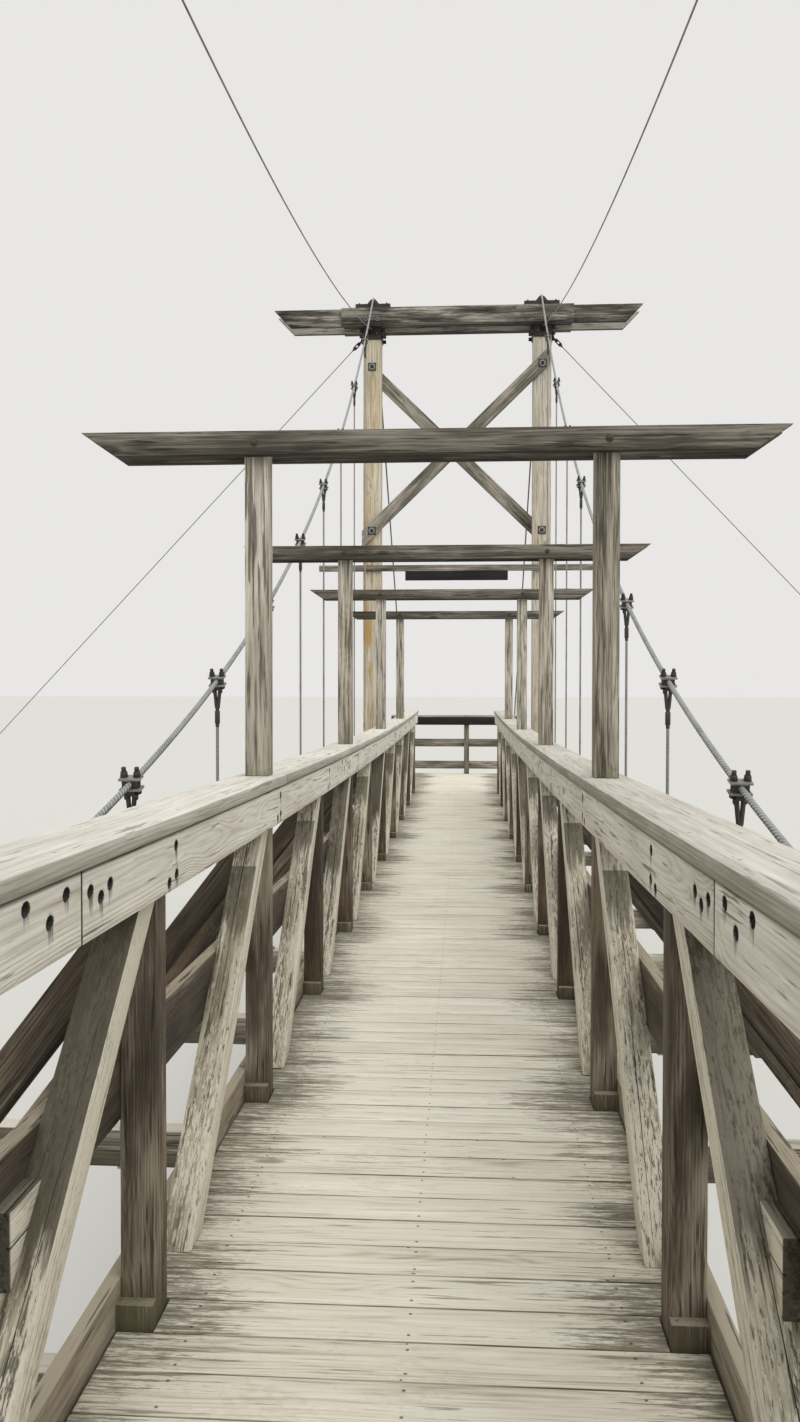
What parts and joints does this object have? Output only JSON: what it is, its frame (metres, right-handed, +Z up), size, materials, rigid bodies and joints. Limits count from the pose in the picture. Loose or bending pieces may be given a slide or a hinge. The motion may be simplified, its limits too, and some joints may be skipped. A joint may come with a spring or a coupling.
{
  "type": "timber suspension footbridge, half-scale model",
  "caption": "Timber suspension footbridge at 1:2 scale: railed truss walkway under gate frames, hung by rods from steel cables that pass over braced timber towers to ground anchors.",
  "frame": {"origin": "on the ground under the middle of the span", "axes": "+Y along the bridge to the far tower, +X to the right across the deck, +Z up"},
  "size_m": [9.97, 27.9774, 4.818],
  "materials": {
    "deck_timber": "bleached and worn deck boards",
    "truss_timber": "dark weathered timber with moss stains",
    "rail_timber": "bleached pale grey timber",
    "gate_timber": "weathered grey timber",
    "frame_timber": "weathered grey-brown timber",
    "leg_timber": "pale peeled timber with orange stains",
    "cable_steel": "galvanised wire rope and dark forged fittings",
    "anchor_concrete": null
  },
  "bodies": {
    "root": {"deck": "deck_timber", "floor_framing": "frame_timber", "left_side_truss": "truss_timber", "right_side_truss": "truss_timber", "left_inner_rail": "rail_timber", "left_outer_rail": "rail_timber", "right_inner_rail": "rail_timber", "right_outer_rail": "rail_timber", "left_handrail_with_gate_posts": "rail_timber", "right_handrail_with_gate_posts": "rail_timber", "gate_beam_1": "gate_timber", "gate_beam_2": "gate_timber", "gate_beam_3": "gate_timber", "gate_beam_4": "gate_timber", "gate_beam_5": "gate_timber", "gate_beam_6": "gate_timber", "gate_beam_7": "gate_timber", "gate_beam_8": "gate_timber", "gate_beam_9": "gate_timber", "gate_beam_10": "gate_timber", "far_tower_left_leg": "leg_timber", "far_tower_right_leg": "leg_timber", "far_tower_cap_beam": "gate_timber", "far_tower_front_brace": "frame_timber", "far_tower_back_brace": "frame_timber", "far_tower_strut_with_bare_board": "frame_timber", "near_tower_left_leg": "leg_timber", "near_tower_right_leg": "leg_timber", "near_tower_cap_beam": "gate_timber", "near_tower_front_brace": "frame_timber", "near_tower_back_brace": "frame_timber", "near_tower_strut_with_bare_board": "frame_timber", "left_main_cable": "cable_steel", "right_main_cable": "cable_steel", "left_tie_cable": "cable_steel", "right_tie_cable": "cable_steel", "far_left_side_guy": "cable_steel", "far_right_side_guy": "cable_steel", "near_left_side_guy": "cable_steel", "near_right_side_guy": "cable_steel", "far_left_anchor_block": "anchor_concrete", "far_right_anchor_block": "anchor_concrete", "near_left_anchor_block": "anchor_concrete", "near_right_anchor_block": "anchor_concrete", "far_landing": "frame_timber", "far_end_railing": "rail_timber", "near_landing": "frame_timber", "near_end_railing": "rail_timber"}
  },
  "joints": []
}
